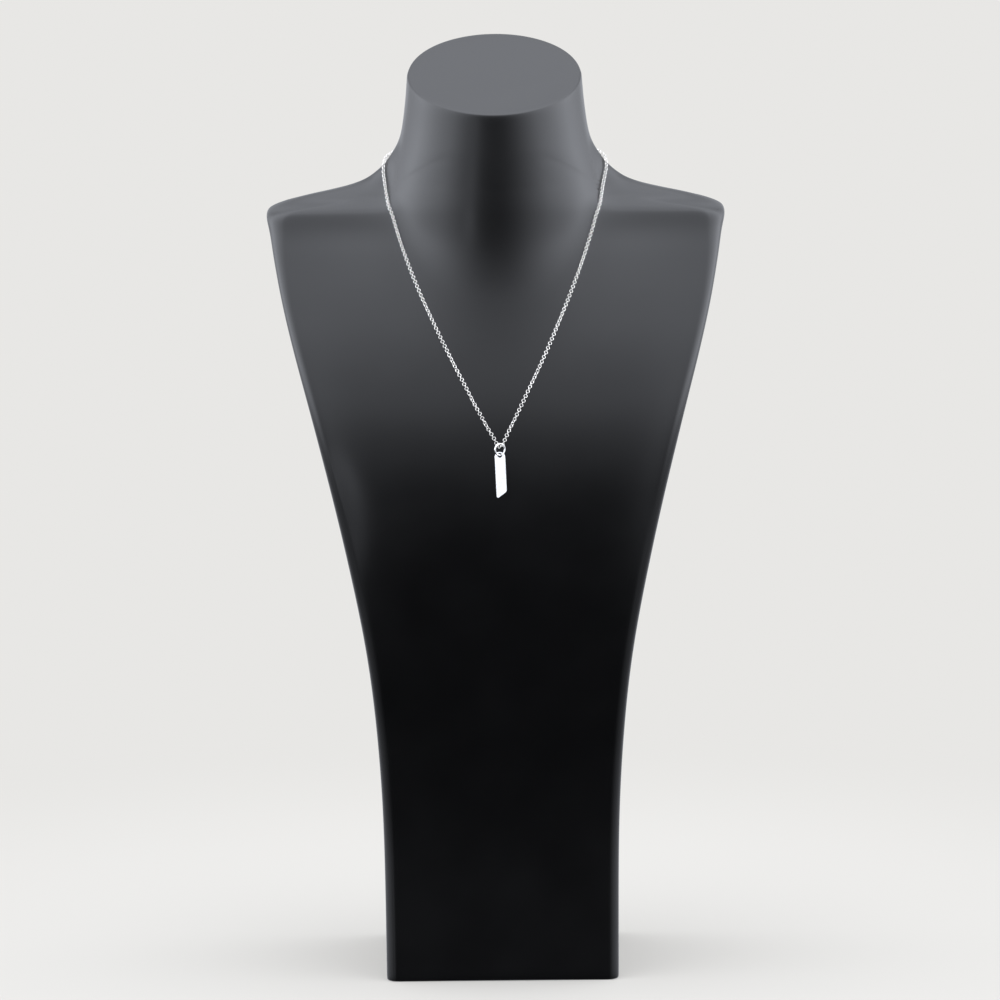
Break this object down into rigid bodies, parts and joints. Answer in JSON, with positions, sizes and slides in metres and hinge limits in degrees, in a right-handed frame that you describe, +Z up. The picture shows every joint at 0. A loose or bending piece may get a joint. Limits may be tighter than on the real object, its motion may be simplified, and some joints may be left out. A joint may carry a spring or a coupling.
{
  "type": "bar pendant necklace on a neck bust",
  "caption": "Slim polished bar pendant with a slanted tip on a jump ring and fine link chain, hung round a tall satin neck display bust.",
  "frame": {"origin": "middle of the bust's flat base, on the surface it stands on", "axes": "+Z up, the chest and the pendant face -Y, +X to the right as seen from the front"},
  "size_m": [0.213, 0.1149, 0.4374],
  "materials": {
    "bust": "satin black",
    "chain": "polished silver",
    "clasp": "polished silver",
    "ring": "polished silver",
    "bar": "polished silver"
  },
  "bodies": {
    "stand": {"bust": "bust", "chain": "chain", "clasp": "clasp"},
    "pendant": {"pendant_ring": "ring", "bar": "bar"}
  },
  "joints": [
    {"name": "pendant_swing", "type": "hinge", "parent": "stand", "child": "pendant", "pos_m": [0.00095, -0.06496, 0.25282], "axis": [-0.788, 0.6157, 0], "range_deg": [0, 80]}
  ]
}
